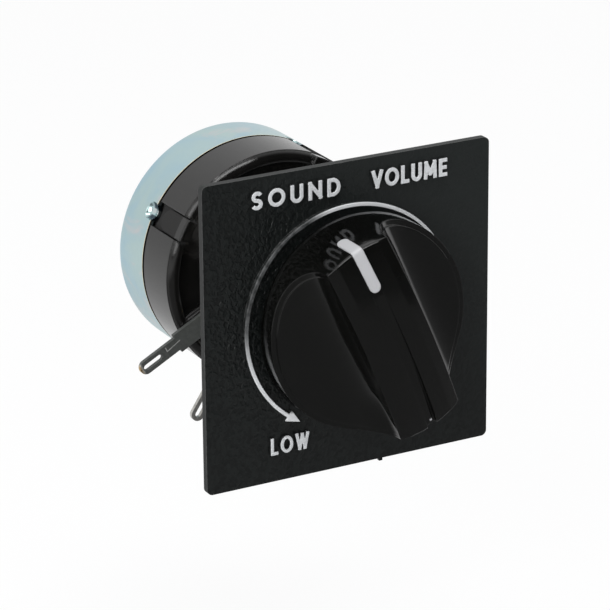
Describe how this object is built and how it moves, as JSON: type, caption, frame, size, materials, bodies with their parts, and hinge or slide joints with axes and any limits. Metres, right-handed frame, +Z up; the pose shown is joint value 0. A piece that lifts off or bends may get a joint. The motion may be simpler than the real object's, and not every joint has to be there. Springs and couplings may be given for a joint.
{
  "type": "l-pad attenuator",
  "caption": "Panel-mount wire-wound L-pad attenuator: metal-backed round body, long threaded bushing, square legend plate and large barred knob with a pointer rib.",
  "frame": {"origin": "on the shaft axis, where the threaded bushing leaves the moulded seat that beds on the back of a panel", "axes": "-Y along the shaft towards the knob, +Z up as the legend reads, +X to the right seen from the front"},
  "size_m": [0.0603, 0.0717, 0.0636],
  "materials": {
    "black_plate": "textured",
    "black_knob": "gloss",
    "black_phenolic": "gloss",
    "zinc_plate": "satin, bright zinc",
    "nickel": "nickel plated",
    "brass": "turned",
    "bronze_spring": "rolled",
    "dark_brass": "tarnished",
    "tinned": "tin plated",
    "resistance_wire": "close wound",
    "brown_laminate": "matt",
    "spring_steel": "rolled",
    "carbon": "sintered"
  },
  "bodies": {
    "fixed_body": {"faceplate": "black_plate", "front_nut": "nickel", "lock_washer": "nickel", "jam_nut": "nickel", "bushing": "brass", "body_housing": "black_phenolic", "rear_cover": "zinc_plate", "insulating_disc": "brown_laminate", "series_former": "brown_laminate", "series_winding": "resistance_wire", "shunt_former": "brown_laminate", "shunt_winding": "resistance_wire", "element_spacer": "brown_laminate", "rear_spacer": "brown_laminate", "input_terminal": "tinned", "output_terminal": "dark_brass", "common_terminal": "tinned", "terminal_rivets": "brass", "collector_ring": "brass", "series_lead": "tinned", "shunt_lead": "tinned"},
    "rotor": {"knob": "black_knob", "knob_spring": "spring_steel", "shaft": "spring_steel", "retaining_ring": "spring_steel", "thrust_washer": "brown_laminate", "rotor_hub": "brass", "collector_spring": "bronze_spring", "series_wiper": "bronze_spring", "rotor_disc": "brown_laminate", "shunt_wiper": "bronze_spring", "clinch_washer": "brass", "series_contact": "carbon", "shunt_contact": "carbon"}
  },
  "joints": [
    {"name": "knob_turn", "type": "hinge", "parent": "fixed_body", "child": "rotor", "pos_m": [0, 0, 0], "axis": [0, 1, 0], "range_deg": [-126.4, 173.6]}
  ]
}
